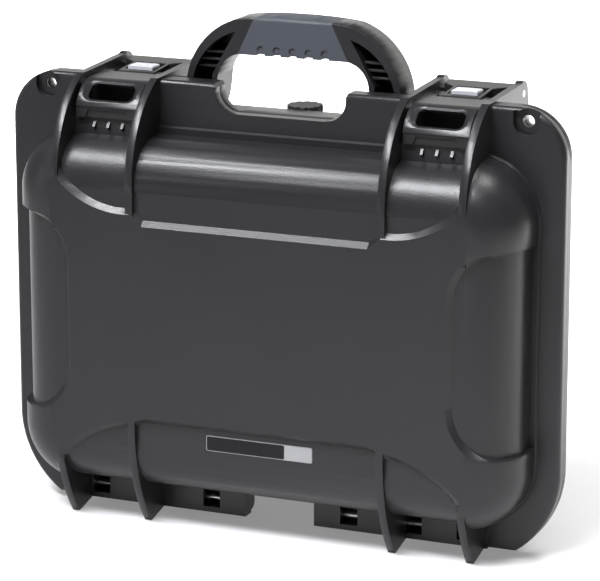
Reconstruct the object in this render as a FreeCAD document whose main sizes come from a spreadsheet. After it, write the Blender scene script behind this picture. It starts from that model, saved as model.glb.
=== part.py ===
import FreeCAD, Part
import os
import Sketcher

# Waterproof hard case, standing on its hinge side with the lid to the front.
# X runs to the right, Y to the back and Z up. The construction is laid out from
# the parting plane between lid and base, and every sub-part is then placed so
# that the origin is at the middle of the case's footprint, on the floor.

# Driving sizes in millimetres and degrees
SIZES = (
    # Flanges and parting
    ("case_width", 424.0),
    ("flange_height", 320.5),
    ("flange_bottom", 4.5),
    ("flange_corner", 36.0),
    ("flange_edge", 3.5),
    ("heel_in", 32.0),
    ("heel_rise", 57.5),
    ("heel_mid_in", 11.5),
    ("heel_mid_rise", 21.5),
    ("lid_flange", 9.0),
    ("base_flange", 9.0),
    ("parting_gap", 0.3),
    # Bulged shells
    ("lid_depth", 59.0),
    ("base_depth", 112.0),
    ("lid_bulge_in", 17.5),
    ("base_bulge_in", 19.0),
    ("bulge_rise", 18.5),
    ("bulge_drop", 34.5),
    ("bulge_corner", 46.0),
    ("bulge_edge", 36.0),
    ("lid_draft", 1.5),
    ("base_draft", 4.0),
    ("recess_depth", 4.0),
    ("wall", 3.2),
    ("skirt_out", 1.8),
    ("skirt_lap", 0.3),
    ("skirt_height", 3.0),
    # Raised panel that leaves the recesses round it
    ("ledge_drop", 58.5),
    ("ledge_rise", 59.0),
    ("ledge_in", 7.0),
    ("panel_slope", 1.0),
    ("side_ledge_in", 64.0),
    ("side_recess_lift", 2.0),
    ("side_recess_radius", 36.0),
    ("pocket_rise", 8.0),
    ("pocket_bow", 8.7),
    ("pocket_climb", 33.0),
    ("pocket_mid_climb", 15.0),
    # Fenders beside the latches and feet under the hinge side
    ("rib_thickness", 5.5),
    ("rib_sink", 0.5),
    ("latch_share", 0.5908),
    ("latch_room", 53.5),
    ("fender_rise", 1.5),
    ("fender_flat", 13.0),
    ("fender_mid_in", 16.5),
    ("fender_mid_drop", 23.5),
    ("fender_fall", 74.5),
    ("foot_start_rise", 6.0),
    ("foot_mid_in", 8.2),
    ("foot_mid_rise", 28.5),
    ("foot_tip", 32.0),
    ("base_foot_near", 34.0),
    ("base_foot_length", 38.0),
    ("base_foot_lean", 14.0),
    # Latches
    ("latch_side_gap", 2.5),
    ("latch_notch_drop", 27.0),
    ("base_notch_drop", 9.0),
    ("catch_depth", 27.0),
    ("catch_rib_width", 2.0),
    ("catch_rib_depth", 3.0),
    ("catch_rib_height", 6.5),
    ("catch_rib_pitch", 11.1),
    ("claw_pin_setback", 11.0),
    ("lever_length", 42.0),
    ("lever_pin_drop", 4.5),
    ("lever_pin_radius", 2.5),
    ("boss_radius", 9.0),
    ("boss_ease", 1.0),
    ("lever_barrel", 6.5),
    ("lever_thickness", 6.0),
    ("lever_neck_gap", 2.75),
    ("lever_flare", 8.0),
    ("lever_rear", 10.0),
    ("lever_rail", 2.5),
    ("slide_setback", 6.0),
    ("slide_in", 4.5),
    ("slide_length", 13.0),
    ("slide_travel", 5.5),
    ("slide_height", 7.0),
    ("slide_edge", 1.5),
    ("slide_float", 0.1),
    ("slide_pocket", 4.4),
    ("slide_groove", 1.6),
    ("claw_pin_drop", 1.0),
    ("claw_pin_radius", 1.6),
    ("claw_barrel", 4.4),
    ("claw_lug", 7.0),
    ("claw_thickness", 3.6),
    ("claw_front", 31.5),
    ("claw_lip", 8.0),
    ("claw_lip_gap", 0.4),
    ("claw_lip_step", 0.8),
    ("claw_scoop", 6.0),
    ("claw_scoop_depth", 1.4),
    ("claw_scoop_half", 15.0),
    ("claw_scoop_flare", 2.5),
    ("claw_top_drop", 1.5),
    ("claw_crown", 8.0),
    ("claw_mid_front", 24.5),
    ("claw_mid_drop", 7.5),
    ("claw_window_out", 3.0),
    ("claw_window_shift", 1.8),
    ("claw_window_height", 15.0),
    ("claw_window_corner", 5.0),
    ("claw_window_lean", 40.0),
    ("claw_dish_side", 5.4),
    ("claw_dish_end", 8.5),
    ("claw_dish_over", 1.0),
    ("claw_dish_depth", 2.6),
    # Padlock eyes
    ("eye_in", 29.0),
    ("eye_drop", 10.0),
    ("eye_radius", 4.3),
    ("eye_recess_radius", 9.5),
    ("eye_recess_depth", 5.0),
    ("eye_recess_lip", 2.0),
    # Hinge
    ("hinge_rise", 8.5),
    ("hinge_pin_radius", 2.5),
    ("hinge_barrel", 6.3),
    ("hinge_start", 27.0),
    ("hinge_outward", 8.0),
    ("hinge_cover", 4.0),
    ("hinge_front", 10.5),
    ("hinge_window_width", 13.5),
    ("hinge_window_drop", 4.5),
    ("hinge_window_height", 13.5),
    ("window_first_share", 0.154),
    ("window_second_share", 0.526),
    ("window_third_share", 0.827),
    ("knuckle_width", 14.0),
    ("knuckle_first_share", 0.293),
    ("knuckle_second_share", 0.662),
    ("knuckle_gap", 0.4),
    ("hinge_pin_inset", 3.0),
    # Seal between lid and base
    ("gasket_width", 4.0),
    ("gasket_height", 3.6),
    ("gasket_out", 2.0),
    ("groove_gap", 0.15),
    # Carrying handle
    ("cutout_in", 7.0),
    ("cutout_floor_in", 17.0),
    ("cutout_drop", 21.0),
    ("cutout_bow", 4.5),
    ("cutout_bow_rise", 5.7),
    ("cutout_lip", 1.0),
    ("cutout_lip_rise", 17.8),
    ("deck_setback", 15.0),
    ("handle_setback", 5.0),
    ("handle_depth", 28.0),
    ("handle_lug_width", 9.5),
    ("handle_lug_gap", 0.5),
    ("handle_lug_radius", 9.0),
    ("handle_pivot_drop", 13.0),
    ("handle_arm_width", 25.0),
    ("handle_foot_radius", 12.5),
    ("handle_foot_rise", 14.5),
    ("handle_foot_taper", 3.0),
    ("handle_height", 59.0),
    ("handle_bar", 28.0),
    ("handle_shoulder_in", 39.0),
    ("handle_shoulder_drop", 3.0),
    ("handle_round_in", 13.0),
    ("handle_round_drop", 20.5),
    ("handle_under_in", 16.0),
    ("handle_inner_bow", 2.0),
    ("handle_inner_drop", 5.0),
    ("handle_edge", 3.0),
    ("handle_rim", 4.5),
    ("handle_web", 6.0),
    ("handle_rib", 1.6),
    ("handle_rib_first", 5.0),
    ("handle_rib_pitch", 5.3),
    ("grip_top_in", 15.0),
    ("grip_bottom_out", 0.5),
    ("grip_thickness", 3.5),
    ("grip_dimple_radius", 2.7),
    ("grip_dimple_depth", 1.0),
    ("grip_dimple_share", 0.29),
    ("grip_dimple_rise", 4.3),
    ("grip_scallop", 1.2),
    ("handle_pin_radius", 3.0),
    ("handle_pin_inset", 4.0),
    # Pressure valve
    ("valve_setback", 14.0),
    ("valve_boss_radius", 15.0),
    ("valve_boss_drop", 6.0),
    ("valve_boss_wall", 14.7),
    ("valve_stem_radius", 8.0),
    ("valve_knob_radius", 13.0),
    ("valve_knob_height", 7.0),
    ("valve_knob_gap", 0.3),
    ("valve_flutes", 12.0),
    ("valve_flute_radius", 1.6),
    ("valve_nut_radius", 12.0),
    ("valve_nut_height", 4.0),
    ("valve_seal_height", 1.5),
    # Running fits
    ("pin_fit", 0.05),
    ("slip_gap", 0.3),
)

doc = FreeCAD.newDocument("hard_case")
sheet = doc.addObject("Spreadsheet::Sheet", "Sizes")


class Dim:
    """A length with its value and the sheet formula that gives it."""

    def __init__(self, value, formula):
        self.value = float(value)
        self.formula = formula

    def join(self, sign, other, value):
        return Dim(value, "(%s %s %s)" % (self.formula, sign, dim(other).formula))

    def __add__(self, other):
        return self.join("+", other, self.value + dim(other).value)

    def __sub__(self, other):
        return self.join("-", other, self.value - dim(other).value)

    def __mul__(self, other):
        return self.join("*", other, self.value * dim(other).value)

    def __truediv__(self, other):
        return self.join("/", other, self.value / dim(other).value)

    def __radd__(self, other):
        return dim(other) + self

    def __rsub__(self, other):
        return dim(other) - self

    def __rmul__(self, other):
        return dim(other) * self

    def __neg__(self):
        return Dim(-self.value, "(0 - %s)" % self.formula)


def dim(number):
    """A Dim as it is, or a plain number as a Dim."""
    if isinstance(number, Dim):
        return number
    return Dim(number, "(%r)" % float(number))


class Sheet:
    """The driving sizes, and the places that follow from them, by name."""


S = Sheet()
for row, (alias, number) in enumerate(SIZES, start=1):
    sheet.set("A%d" % row, alias.replace("_", " "))
    sheet.set("B%d" % row, str(number))
    sheet.setAlias("B%d" % row, alias)
    setattr(S, alias, Dim(number, "Sizes." + alias))
doc.recompute()

# Places that follow from the driving sizes
half_width = S.case_width / 2
S.flange_top = S.flange_bottom + S.flange_height
S.bulge_bottom = S.flange_bottom + S.bulge_rise
S.bulge_top = S.flange_top - S.bulge_drop
S.lid_bulge_width = S.case_width - 2 * S.lid_bulge_in
S.base_bulge_width = S.case_width - 2 * S.base_bulge_in
S.latch_middle = half_width * S.latch_share
S.outer_rib = S.latch_middle + S.latch_room / 2
S.inner_rib = S.latch_middle - S.latch_room / 2 - S.rib_thickness
S.ledge_top = S.bulge_top - S.ledge_drop
S.ledge_bottom = S.bulge_bottom + S.ledge_rise
S.ledge_half = S.inner_rib - S.ledge_in
S.side_ledge = half_width - S.side_ledge_in
S.side_recess_bottom = S.ledge_bottom + S.side_recess_lift
S.fender_top = S.flange_top + S.fender_rise
S.fender_mid_front = S.lid_depth - S.fender_mid_in
S.fender_mid_height = S.fender_top - S.fender_mid_drop
S.fender_low = S.fender_top - S.fender_fall
S.foot_start = S.ledge_bottom + S.foot_start_rise
S.foot_mid_front = S.lid_depth - S.foot_mid_in
S.foot_mid_height = S.flange_bottom + S.foot_mid_rise
S.base_foot_far = S.base_foot_near + S.base_foot_length
S.latch_notch = S.flange_top - S.latch_notch_drop
S.base_notch = S.flange_top - S.base_notch_drop
S.claw_pin_back = S.base_flange + S.claw_pin_setback
S.lever_pin_back = S.claw_pin_back + S.lever_length
S.lever_pin_height = S.flange_top - S.lever_pin_drop
S.lever_flare_end = S.lever_pin_back - S.lever_rear
S.lever_flare_start = S.lever_flare_end - S.lever_flare
S.lever_neck = S.latch_room - 2 * (S.latch_side_gap + S.claw_lug + S.lever_neck_gap)
S.slide_front = S.claw_pin_back + S.slide_setback
S.slide_width = S.lever_neck - 2 * S.slide_in
S.claw_window_width = S.lever_neck + 2 * S.claw_window_out
S.claw_top = S.flange_top - S.claw_top_drop
S.claw_mid_height = S.claw_top - S.claw_mid_drop
S.eye_out = half_width - S.eye_in
S.eye_height = S.flange_top - S.eye_drop
S.hinge_height = S.flange_bottom + S.hinge_rise
S.hinge_end = S.outer_rib + S.hinge_outward
S.hinge_top = S.bulge_bottom + S.hinge_cover
S.hinge_window_low = S.hinge_height - S.hinge_window_drop
hinge_length = S.hinge_end - S.hinge_start
S.window_first = S.hinge_start + hinge_length * S.window_first_share
S.window_second = S.hinge_start + hinge_length * S.window_second_share
S.window_third = S.hinge_start + hinge_length * S.window_third_share
S.knuckle_first = S.hinge_start + hinge_length * S.knuckle_first_share
S.knuckle_second = S.hinge_start + hinge_length * S.knuckle_second_share
S.handle_foot_out = S.inner_rib - S.handle_lug_width - S.handle_lug_gap
S.handle_foot_in = S.handle_foot_out - S.handle_arm_width
S.handle_front = S.base_flange + S.handle_setback
S.handle_pivot_height = S.flange_top - S.handle_pivot_drop
S.handle_top = S.handle_pivot_height + S.handle_height
S.handle_under = S.handle_top - S.handle_bar
S.handle_under_half = S.handle_foot_in - S.handle_under_in
S.handle_shoulder = S.handle_foot_out - S.handle_shoulder_in
S.handle_round_out = S.handle_foot_out - S.handle_round_in
S.handle_round_height = S.handle_top - S.handle_round_drop
S.handle_pin_in = S.handle_foot_in + S.handle_pin_inset
S.grip_top_half = S.handle_shoulder - S.grip_top_in
S.grip_bottom_half = S.handle_under_half + S.grip_bottom_out
S.grip_dimple_pitch = S.grip_bottom_half * S.grip_dimple_share
S.cutout_half = S.handle_foot_in - S.cutout_in
S.cutout_floor_half = S.cutout_half - S.cutout_floor_in
S.cutout_floor = S.flange_top - S.cutout_drop
S.deck_depth = S.base_flange + S.deck_setback
S.valve_back = S.deck_depth + S.valve_setback
S.valve_boss_top = S.cutout_floor - S.valve_boss_drop

SIDES = (("left", -1), ("right", 1))
OVERSIZE = 40.0
PAST = 1.0
NEAR = 0.01
DIAGONAL = 0.29289
SLANT = 0.70711
TURNED = {
    "XZ": FreeCAD.Rotation(FreeCAD.Vector(1, 0, 0), 90),
    "YZ": FreeCAD.Rotation(FreeCAD.Vector(1, 1, 1), 120),
    "XY": FreeCAD.Rotation(),
    "X": FreeCAD.Rotation(FreeCAD.Vector(0, 1, 0), 90),
    "Y": FreeCAD.Rotation(FreeCAD.Vector(1, 0, 0), -90),
    "Z": FreeCAD.Rotation(),
}
NORMAL = {"XZ": "y", "YZ": "x", "XY": "z"}


def bind(item, name, size):
    """Tie one property to the sheet."""
    item.setExpression(name, dim(size).formula)


laid_back = {}


def place(item, x=0, y=0, z=0):
    """Tie an object's position to the sheet."""
    laid_back[item.Name] = dim(y)
    for letter, size in (("x", x), ("y", y), ("z", z)):
        bind(item, "Placement.Base." + letter, size)


def draw(outline, path):
    """Draw a closed outline. A corner is (u, v); (u, v, (mu, mv)) starts an arc through a middle point."""
    corners = [point(corner) for corner in path]
    count = len(path)
    shapes = []
    for index, corner in enumerate(path):
        there = corners[(index + 1) % count]
        if len(corner) == 2:
            shapes.append(Part.LineSegment(corners[index], there))
        else:
            shapes.append(arc(corners[index], point(corner[2]), there))
    outline.addGeometry(shapes)
    middles = [(index, corner[2]) for index, corner in enumerate(path) if len(corner) == 3]
    outline.addGeometry([Part.Point(point(middle)) for index, middle in middles], True)
    ends = []
    for index, corner in enumerate(corners):
        forward = outline.Geometry[index].StartPoint.distanceToPoint(corner) < 1e-6
        ends.append((1, 2) if forward else (2, 1))
    rules = []
    held = []
    for index, corner in enumerate(path):
        after = (index + 1) % count
        rules.append(Sketcher.Constraint("Coincident", index, ends[index][1], after, ends[after][0]))
        held.append((index, ends[index][0], corner))
    for number, (index, middle) in enumerate(middles):
        rules.append(Sketcher.Constraint("PointOnObject", count + number, 1, index))
        held.append((count + number, 1, middle))
    sizes = []
    for geometry, end, at in held:
        for kind, size in (("DistanceX", at[0]), ("DistanceY", at[1])):
            sizes.append((len(rules), size))
            rules.append(Sketcher.Constraint(kind, -1, 1, geometry, end, dim(size).value))
    outline.addConstraint(rules)
    for number, size in sizes:
        bind(outline, "Constraints[%d]" % number, size)


def arc(start, middle, end):
    """An arc through three points, kept anticlockwise as sketches need it."""
    turn = (middle - start).cross(end - middle).z
    return Part.Arc(start, middle, end) if turn > 0 else Part.Arc(end, middle, start)


def point(at):
    """A sketch point from two sizes."""
    return FreeCAD.Vector(dim(at[0]).value, dim(at[1]).value, 0)


def sketch(name, view, path, at):
    """An outline drawn in one view, at a place on the third axis."""
    outline = doc.addObject("Sketcher::SketchObject", name)
    draw(outline, path)
    outline.Placement = FreeCAD.Placement(FreeCAD.Vector(), TURNED[view])
    bind(outline, "Placement.Base." + NORMAL[view], at)
    return outline


def leaning(name, path, at, off):
    """An outline on a plane that leans on the claw's curve, a little way off it."""
    outline = doc.addObject("Sketcher::SketchObject", name)
    draw(outline, path)
    outline.Placement = FreeCAD.Placement(FreeCAD.Vector(), FreeCAD.Rotation(FreeCAD.Vector(1, 0, 0), 1))
    bind(outline, "Placement.Rotation.Angle", S.claw_window_lean)
    rise = "cos(%s * 1 deg)" % S.claw_window_lean.formula
    run = "sin(%s * 1 deg)" % S.claw_window_lean.formula
    outline.setExpression("Placement.Base.y", "%s - (%s) * %s" % (at[0].formula, dim(off).formula, run))
    outline.setExpression("Placement.Base.z", "%s + (%s) * %s" % (at[1].formula, dim(off).formula, rise))
    return outline


def prism(name, view, path, start, end):
    """An outline drawn in one view and extruded from start to end along the third axis."""
    solid = doc.addObject("Part::Extrusion", name)
    solid.Base = sketch(name + "_outline", view, path, end if view == "XZ" else start)
    solid.DirMode = "Normal"
    solid.Solid = True
    bind(solid, "LengthFwd", dim(end) - start)
    return solid


def box(name, across, along, up):
    """A block between two planes on each axis."""
    solid = doc.addObject("Part::Box", name)
    for side, (low, high) in (("Length", across), ("Width", along), ("Height", up)):
        bind(solid, side, dim(high) - low)
    place(solid, across[0], along[0], up[0])
    return solid


def rod(name, axis, centre, span, radius):
    """A round rod along one axis. Its centre is given on the two other axes, in order."""
    solid = doc.addObject("Part::Cylinder", name)
    bind(solid, "Radius", radius)
    bind(solid, "Height", dim(span[1]) - span[0])
    solid.Placement = FreeCAD.Placement(FreeCAD.Vector(), TURNED[axis])
    position = list(centre)
    position.insert("XYZ".index(axis), span[0])
    place(solid, *position)
    return solid


def fuse(name, solids):
    """One solid from several."""
    joined = doc.addObject("Part::MultiFuse", name)
    joined.Shapes = solids
    return joined


def common(name, solids):
    """What several solids share."""
    shared = doc.addObject("Part::MultiCommon", name)
    shared.Shapes = solids
    return shared


def cut(name, base, tools):
    """A solid less a list of others."""
    less = doc.addObject("Part::Cut", name)
    less.Base = base
    less.Tool = tools[0] if len(tools) == 1 else fuse(name + "_tools", tools)
    return less


def mirror_path(path, crown=None):
    """Close a right-hand half outline with its mirror image, over a crown point if there is one."""
    left = []
    for index in range(len(path) - 1, -1, -1):
        corner = path[index]
        before = path[index - 1] if index else None
        mirrored = (-dim(corner[0]), corner[1])
        if before is not None and len(before) == 3:
            mirrored += ((-dim(before[2][0]), before[2][1]),)
        left.append(mirrored)
    right = list(path)
    if crown is not None:
        right[-1] += (crown,)
    return right + left


def mirrored(corner, side):
    """A corner on the right, or its mirror image on the left."""
    middles = tuple((side * dim(middle[0]), middle[1]) for middle in corner[2:])
    return (side * dim(corner[0]), corner[1]) + middles


def span(side, near, far):
    """A range across the case, on the left or the right."""
    if side > 0:
        return (dim(near), dim(far))
    return (-dim(far), -dim(near))


def rounded(half, low, high, radius):
    """A rectangle, even about the middle, with round corners."""
    inset = radius * DIAGONAL
    side = dim(half)
    right = [
        (side - radius, low, (side - inset, low + inset)),
        (side, low + radius),
        (side, high - radius, (side - inset, high - inset)),
        (side - radius, high),
    ]
    return mirror_path(right)


# Shared forms of lid and base
heel = (half_width - S.heel_in, S.flange_bottom)


def flange_path():
    """Round-topped flange with a curved heel at each lower corner."""
    inset = S.flange_corner * DIAGONAL
    return mirror_path([
        heel + ((half_width - S.heel_mid_in, S.flange_bottom + S.heel_mid_rise),),
        (half_width, S.flange_bottom + S.heel_rise),
        (half_width, S.flange_top - S.flange_corner, (half_width - inset, S.flange_top - inset)),
        (half_width - S.flange_corner, S.flange_top),
    ])


def body_sketch(body, name, plane_role, path):
    """An outline on one of a body's own planes."""
    outline = body.newObject("Sketcher::SketchObject", name + "_outline")
    plane = [item for item in body.Origin.OriginFeatures if item.Role == plane_role][0]
    outline.AttachmentSupport = [(plane, "")]
    outline.MapMode = "FlatFace"
    draw(outline, path)
    return outline


def pad_of(body, name, outline, length, to_back=False):
    """An outline made into a body's first solid."""
    pad = body.newObject("PartDesign::Pad", name + "_pad")
    pad.Profile = outline
    pad.Reversed = to_back
    bind(pad, "Length", length)
    return pad


def edges_of(feature, wanted):
    """Names of a feature's edges, chosen by their end points."""
    names = []
    for number, edge in enumerate(feature.Shape.Edges, start=1):
        ends = [vertex.Point for vertex in edge.Vertexes]
        if wanted(ends):
            names.append("Edge%d" % number)
    return names


def round_off(body, name, feature, edges, radius):
    """A fillet on named edges."""
    fillet = body.newObject("PartDesign::Fillet", name)
    fillet.Base = (feature, edges)
    bind(fillet, "Radius", radius)
    doc.recompute()
    return fillet


def bulge(name, width, depth, draft, to_back, inset):
    """A drafted, rounded shell form standing out from the parting plane."""
    body = doc.addObject("PartDesign::Body", name)
    half = width / 2 - inset
    path = mirror_path([(half, S.bulge_bottom + inset), (half, S.bulge_top - inset)])
    pad = pad_of(body, name, body_sketch(body, name, "XZ_Plane", path), depth - inset, to_back)
    bind(pad, "TaperAngle", -draft)
    doc.recompute()
    reach = (depth - inset).value
    upright = edges_of(pad, lambda ends: abs(ends[0].y - ends[-1].y) > reach / 2)
    corners = round_off(body, name + "_corners", pad, upright, S.bulge_corner - inset / 2)
    face = edges_of(corners, lambda ends: min(abs(end.y) for end in ends) > reach - NEAR)
    round_off(body, name + "_edges", corners, face, S.bulge_edge - inset / 2)
    return body


def flange(name, depth, to_back):
    """A flange on the parting plane, with its far edge rounded."""
    body = doc.addObject("PartDesign::Body", name)
    pad = pad_of(body, name, body_sketch(body, name, "XZ_Plane", flange_path()), depth, to_back)
    doc.recompute()
    far = edges_of(pad, lambda ends: min(abs(end.y) for end in ends) > depth.value - NEAR)
    round_off(body, name + "_edge", pad, far, S.flange_edge)
    return body


def skirt(name, half, toward, depth):
    """Sloping rim where a bulge stands on its flange. Toward is -1 to the front."""
    lap = S.skirt_lap
    out = S.skirt_out
    foot = rounded(half + out, S.bulge_bottom - out, S.bulge_top + out, S.bulge_corner + out)
    head = rounded(half + lap, S.bulge_bottom - lap, S.bulge_top + lap, S.bulge_corner + lap)
    rim = doc.addObject("Part::Loft", name)
    rim.Sections = [
        sketch(name + "_foot", "XZ", foot, toward * (depth - S.flange_edge / 2)),
        sketch(name + "_head", "XZ", head, toward * (depth + S.skirt_height)),
    ]
    rim.Solid = True
    rim.Ruled = True
    return rim


def panel_path(step):
    """Raised panel: recesses at top, bottom and sides, and arched pockets at latches and hinges.

    The outline draws back from the recesses by one step.
    """
    beyond = half_width + OVERSIZE
    over = S.flange_top + OVERSIZE
    under = S.flange_bottom - OVERSIZE
    rib = S.inner_rib + S.rib_thickness / 2
    corner = S.outer_rib + step
    pocket_mid = (S.inner_rib + S.outer_rib) / 2 + S.pocket_bow + step * DIAGONAL
    radius = S.side_recess_radius + step
    side = S.side_ledge - step
    top = S.ledge_top + step
    bottom = S.side_recess_bottom - step
    round_off_mid = side + radius * DIAGONAL
    drop = radius * DIAGONAL
    low = S.ledge_bottom + step
    high = S.ledge_top - step
    return mirror_path([
        (S.ledge_half, low),
        (rib, low - S.pocket_rise / 2, (pocket_mid, low - S.pocket_mid_climb)),
        (corner, low - S.pocket_climb),
        (corner, under),
        (beyond, under),
        (beyond, bottom),
        (side + radius, bottom, (round_off_mid, bottom + drop)),
        (side, bottom + radius),
        (side, top - radius, (round_off_mid, top - drop)),
        (side + radius, top),
        (beyond, top),
        (beyond, over),
        (corner, over),
        (corner, high + S.pocket_climb, (pocket_mid, high + S.pocket_mid_climb)),
        (rib, high + S.pocket_rise),
        (S.ledge_half, high),
    ])


def ledged(name, toward, depth):
    """The raised panel's prism, whose ledges slope over the recess's depth. Toward is -1 to the front."""
    floor = toward * (depth - S.recess_depth)
    past = toward * (depth + S.panel_slope)
    low, high = (floor, dim(0)) if toward < 0 else (dim(0), floor)
    straight = prism(name + "_sides", "XZ", panel_path(dim(0)), low, high)
    slope = doc.addObject("Part::Loft", name + "_slope")
    slope.Sections = [
        sketch(name + "_foot", "XZ", panel_path(dim(0)), floor),
        sketch(name + "_head", "XZ", panel_path(S.recess_depth + S.panel_slope), past),
    ]
    slope.Solid = True
    slope.Ruled = True
    return fuse(name + "_prism", [straight, slope])


def ribs(name, path_of):
    """The same side profile on the four rib lines."""
    made = []
    for word, side in SIDES:
        for line, near in (("inner", S.inner_rib), ("outer", S.outer_rib)):
            across = span(side, near, near + S.rib_thickness)
            made.append(prism("%s_%s_%s" % (name, line, word), "YZ", path_of(), *across))
    return made


def latch_span(side):
    """The clear room between two fenders."""
    return span(side, S.inner_rib + S.rib_thickness, S.outer_rib)


def latch_width(side):
    """A latch's width between its fenders."""
    near = S.inner_rib + S.rib_thickness + S.latch_side_gap
    return span(side, near, S.outer_rib - S.latch_side_gap)


cavity_inset = S.recess_depth + S.wall
cavity_half = S.lid_bulge_width / 2 - cavity_inset
cavity_low = S.bulge_bottom + cavity_inset
cavity_high = S.bulge_top - cavity_inset
valve_seat = S.valve_boss_top - S.valve_boss_wall


def handle_cutout(name, start, end):
    """Finger opening in a flange, under the handle."""
    bow = (S.cutout_half - S.cutout_bow, S.cutout_floor + S.cutout_bow_rise)
    path = mirror_path([
        (S.cutout_floor_half, S.cutout_floor, bow),
        (S.cutout_half - S.cutout_lip, S.cutout_floor + S.cutout_lip_rise),
        (S.cutout_half, S.flange_top),
        (S.cutout_half, S.flange_top + OVERSIZE),
    ])
    return prism(name, "XZ", path, start, end)


def eye_hole(name, side, start, end):
    """Padlock hole."""
    return rod(name, "Y", (side * S.eye_out, S.eye_height), (start, end), S.eye_radius)


def hinge_spans(side):
    """Where the base's knuckles stand on the hinge pin."""
    return [span(side, start, start + S.knuckle_width) for start in (S.knuckle_first, S.knuckle_second)]


# Lid
def lid_fender_path():
    """Convex fender that rises from the front panel to the top of the flange."""
    rib_front = S.lid_depth - S.rib_sink
    fender_end = S.ledge_top - 2 * S.rib_thickness
    return [
        (0, fender_end),
        (0, S.fender_top),
        (-S.fender_flat, S.fender_top, (-S.fender_mid_front, S.fender_mid_height)),
        (-rib_front, S.fender_low),
        (-rib_front, fender_end),
    ]


def lid_foot_path():
    """Fin that runs down from the front panel to a pointed foot."""
    return [
        (0, S.foot_start),
        (S.rib_sink - S.lid_depth, S.foot_start, (-S.foot_mid_front, S.foot_mid_height)),
        (-S.foot_tip, 0),
        (-S.lid_flange, S.flange_bottom),
        (0, S.flange_bottom),
    ]


def lid_panel():
    """The lid's raised front panel, cut from the full form."""
    full = bulge("lid_full", S.lid_bulge_width, S.lid_depth, S.lid_draft, False, dim(0))
    return common("lid_panel", [full, ledged("lid_panel", -1, S.lid_depth)])


def lid_catches():
    """Ledges under the latch claws, each with three small ribs."""
    made = []
    low = S.bulge_top - S.bulge_edge / 2
    high = S.latch_notch - S.claw_lip_gap
    gusset = [
        (PAST - S.catch_depth, high - PAST),
        (-S.catch_depth - S.catch_rib_depth, high - S.catch_rib_height),
        (PAST - S.catch_depth, high - S.catch_rib_height - S.catch_rib_depth),
    ]
    for word, side in SIDES:
        across = span(side, S.inner_rib + S.rib_thickness / 2, S.outer_rib + S.rib_thickness / 2)
        made.append(box("catch_" + word, across, (-S.catch_depth, 0), (low, high)))
        for step in (-1, 0, 1):
            middle = S.latch_middle + step * S.catch_rib_pitch
            rib = span(side, middle - S.catch_rib_width / 2, middle + S.catch_rib_width / 2)
            made.append(prism("catch_rib_" + word, "YZ", gusset, *rib))
    return made


def make_lid():
    """Lid shell with its flange, panel, fenders, feet and hinge blocks."""
    edge = flange("lid_flange", S.lid_flange, False)
    core = bulge("lid_core", S.lid_bulge_width, S.lid_depth, S.lid_draft, False, S.recess_depth)
    hollow = bulge("lid_cavity", S.lid_bulge_width, S.lid_depth, S.lid_draft, False, cavity_inset)
    solids = [edge, core, lid_panel(), skirt("lid_skirt", S.lid_bulge_width / 2, -1, S.lid_flange)]
    solids += ribs("lid_fender", lid_fender_path)
    solids += ribs("lid_foot", lid_foot_path)
    solids += lid_catches()
    removed = [hollow]
    removed.append(handle_cutout("lid_cutout", -S.lid_flange - OVERSIZE / 8, S.parting_gap))
    for word, side in SIDES:
        block = span(side, S.hinge_start, S.hinge_end)
        block_up = (S.flange_bottom, S.hinge_top)
        solids.append(box("hinge_block_" + word, block, (-S.hinge_front, 0), block_up))
        notch_up = (S.latch_notch - S.claw_lip_gap, S.flange_top + OVERSIZE)
        removed.append(box("lid_notch_" + word, latch_span(side), (-S.lid_depth - PAST, PAST), notch_up))
        removed += eye_recess(word, side)
    gap_along = (-S.lid_flange - PAST, PAST)
    removed.append(box("hinge_gap", (-S.hinge_start, S.hinge_start), gap_along, (-PAST, S.bulge_bottom)))
    groove_out = S.gasket_out - S.groove_gap
    groove_width = S.gasket_width + 2 * S.groove_gap
    removed.append(seal_ring("groove", groove_out, groove_width, S.gasket_height + S.groove_gap))
    slab = half_width + OVERSIZE
    trim_up = (-OVERSIZE, S.flange_top + OVERSIZE)
    removed.append(box("lid_trim", (-slab, slab), (-S.parting_gap, OVERSIZE), trim_up))
    shell = cut("lid_hollowed", fuse("lid_form", solids), removed)
    return hinge_lid(shell)


def eye_recess(word, side):
    """Padlock hole and the round-bottomed recess before it."""
    floor = -S.lid_flange + S.eye_recess_depth
    front = -S.lid_flange - PAST
    centre = (side * S.eye_out, S.eye_height)
    round_end = rod("eye_round_" + word, "Y", centre, (front, floor), S.eye_recess_radius)
    across = (side * S.eye_out - S.eye_recess_radius, side * S.eye_out + S.eye_recess_radius)
    lip = S.flange_top - S.eye_recess_lip
    above = box("eye_above_" + word, across, (front, floor), (S.eye_height, lip))
    return [round_end, above, eye_hole("lid_eye_" + word, side, front, PAST)]


def seal_ring(name, out, width, height):
    """A rounded ring round the cavity, set into the lid's parting face."""
    low = cavity_low - out
    high = cavity_high + out
    corner = S.bulge_corner - cavity_inset / 2 + out
    inner = rounded(cavity_half + out, low, high, corner)
    outer = rounded(cavity_half + out + width, low - width, high + width, corner + width)
    back = -S.parting_gap
    around = prism(name + "_outer", "XZ", outer, back - height, back)
    inside = prism(name + "_inner", "XZ", inner, back - height, back)
    return cut(name, around, [inside])


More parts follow.
